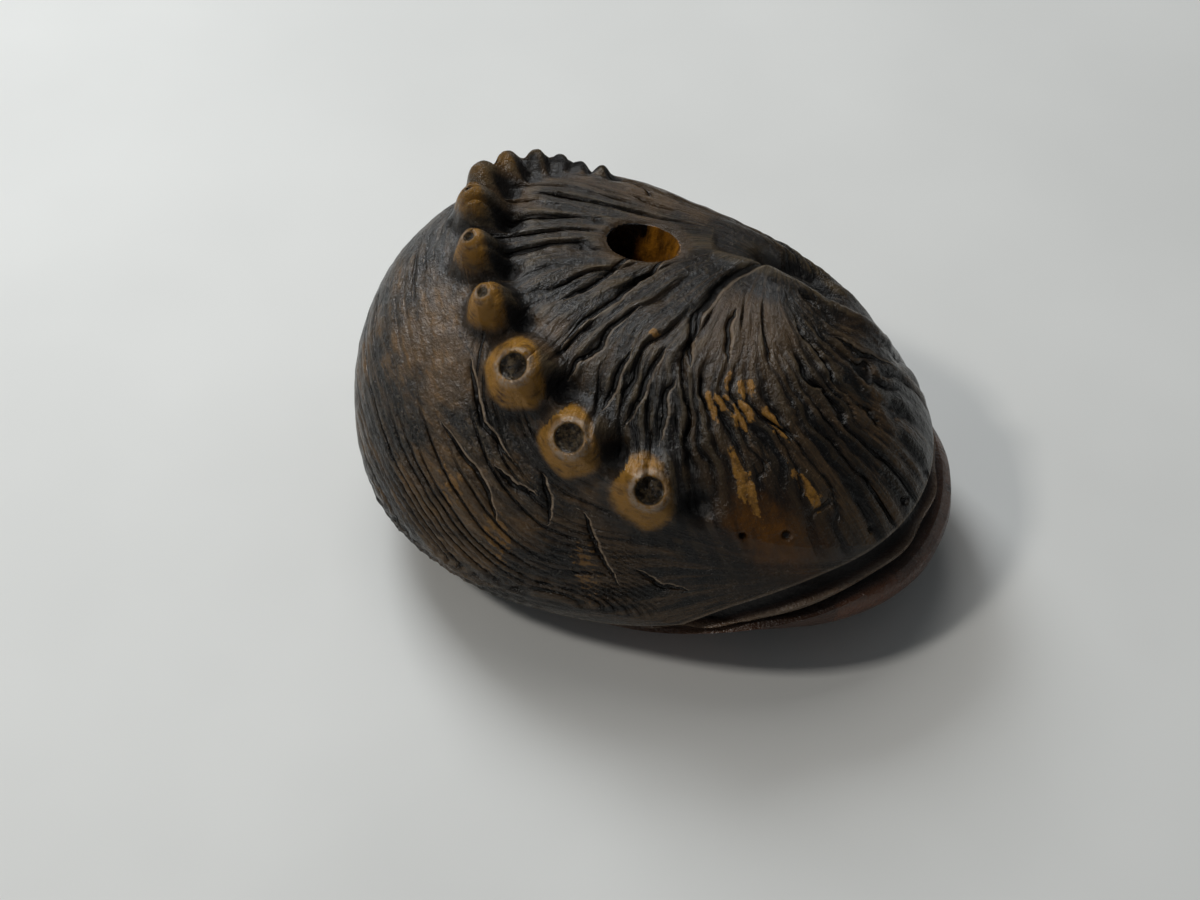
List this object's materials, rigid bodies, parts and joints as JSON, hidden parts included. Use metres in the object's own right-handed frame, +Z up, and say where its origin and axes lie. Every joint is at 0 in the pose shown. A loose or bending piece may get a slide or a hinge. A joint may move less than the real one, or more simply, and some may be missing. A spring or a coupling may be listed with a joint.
{
  "type": "netsuke",
  "caption": "Wooden netsuke carved as an abalone, shell side up, with a row of raised nubs, growth folds, a flat-cut foot and a cord bore through the shell.",
  "frame": {"origin": "middle of the bounding box's underside, on the surface that the foot stands on", "axes": "+Z up, +X towards the shell's growing end along its length, +Y towards the side of the spire"},
  "size_m": [0.0458, 0.0322, 0.0235],
  "materials": {
    "stained_wood": "dark stain rubbed through to warm brown on the high places, waxed to a dull sheen"
  },
  "bodies": {
    "root": {"netsuke": "stained_wood"}
  },
  "joints": []
}
